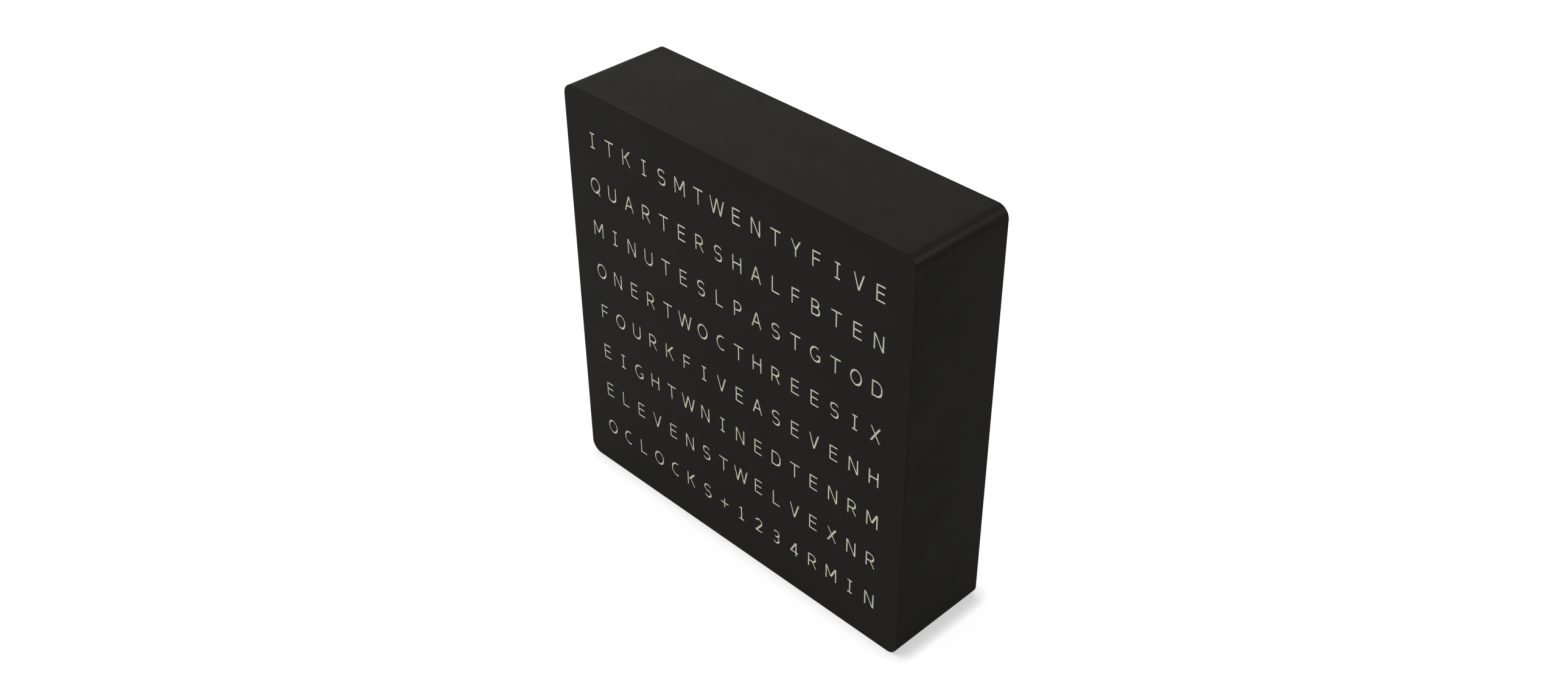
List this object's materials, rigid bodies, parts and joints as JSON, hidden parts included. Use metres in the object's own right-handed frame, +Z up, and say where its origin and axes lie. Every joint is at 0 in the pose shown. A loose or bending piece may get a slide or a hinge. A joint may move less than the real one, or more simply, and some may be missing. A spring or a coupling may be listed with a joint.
{
  "type": "word clock",
  "caption": "Square box word clock: letters cut through a black face film over a cream light guide, an LED matrix behind, push buttons and a supply socket at the rear.",
  "frame": {"origin": "middle of the bottom face, at floor level", "axes": "+Z up, +X to the right seen from the front, the letter face looks along -Y and the rear cover along +Y"},
  "size_m": [0.18, 0.0472, 0.18],
  "materials": {
    "case_black": "matte black, finely textured",
    "film_black": "matte black film",
    "guide_cream": "cream translucent, satin",
    "strip_white": "white solder resist",
    "led_white": "white package with a clear window",
    "wire_red": "coloured wire insulation",
    "steel": "bright steel",
    "brass": "bright brass",
    "board_green": "solder resist",
    "button_body": "black moulded",
    "button_cap": "black moulded",
    "electronics_black": "moulded black",
    "capacitor": "dark sleeve over an aluminium can",
    "terminal_blue": "moulded blue"
  },
  "bodies": {
    "clock": {"baffle_grid": "case_black", "board_screws": "steel", "brighter_button_body": "button_body", "brighter_button_spring": "steel", "button_bases": "button_body", "button_leads": "wire_red", "button_nuts": "steel", "carrier_screws": "steel", "case_shell": "case_black", "controller_board": "board_green", "cover_screws": "steel", "dimmer_button_body": "button_body", "dimmer_button_spring": "steel", "face_film": "film_black", "film_islands": "film_black", "key_switches": "electronics_black", "led_carrier": "case_black", "led_strip_1": "strip_white", "led_strip_2": "strip_white", "led_strip_3": "strip_white", "led_strip_4": "strip_white", "led_strip_5": "strip_white", "led_strip_6": "strip_white", "led_strip_7": "strip_white", "led_strip_8": "strip_white", "leds_1": "led_white", "leds_2": "led_white", "leds_3": "led_white", "leds_4": "led_white", "leds_5": "led_white", "leds_6": "led_white", "leds_7": "led_white", "leds_8": "led_white", "letter_guide": "guide_cream", "level_shifter": "electronics_black", "pin_headers": "electronics_black", "power_board": "board_green", "programming_socket": "steel", "radio_module": "board_green", "radio_shield": "steel", "rear_cover": "case_black", "setup_button_body": "button_body", "setup_button_spring": "steel", "signal_leads": "wire_red", "smoothing_capacitor": "capacitor", "socket_nut": "steel", "socket_pin": "brass", "socket_tabs": "brass", "strip_leads": "wire_red", "strip_links": "wire_red", "strip_terminal": "terminal_blue", "supply_leads": "wire_red", "supply_socket": "button_body", "supply_terminal": "terminal_blue", "threaded_inserts": "brass"},
    "setup_cap": {"setup_button_cap": "button_cap"},
    "dimmer_cap": {"dimmer_button_cap": "button_cap"},
    "brighter_cap": {"brighter_button_cap": "button_cap"}
  },
  "joints": [
    {"name": "setup_press", "type": "slide", "parent": "clock", "child": "setup_cap", "axis": [0, -1, 0], "range_m": [0, 0.001], "stiffness_N_per_m": 400, "springref_m": -0.0015, "deforming": ["setup_button_spring"]},
    {"name": "dimmer_press", "type": "slide", "parent": "clock", "child": "dimmer_cap", "axis": [0, -1, 0], "range_m": [0, 0.001], "stiffness_N_per_m": 400, "springref_m": -0.0015, "deforming": ["dimmer_button_spring"]},
    {"name": "brighter_press", "type": "slide", "parent": "clock", "child": "brighter_cap", "axis": [0, -1, 0], "range_m": [0, 0.001], "stiffness_N_per_m": 400, "springref_m": -0.0015, "deforming": ["brighter_button_spring"]}
  ]
}
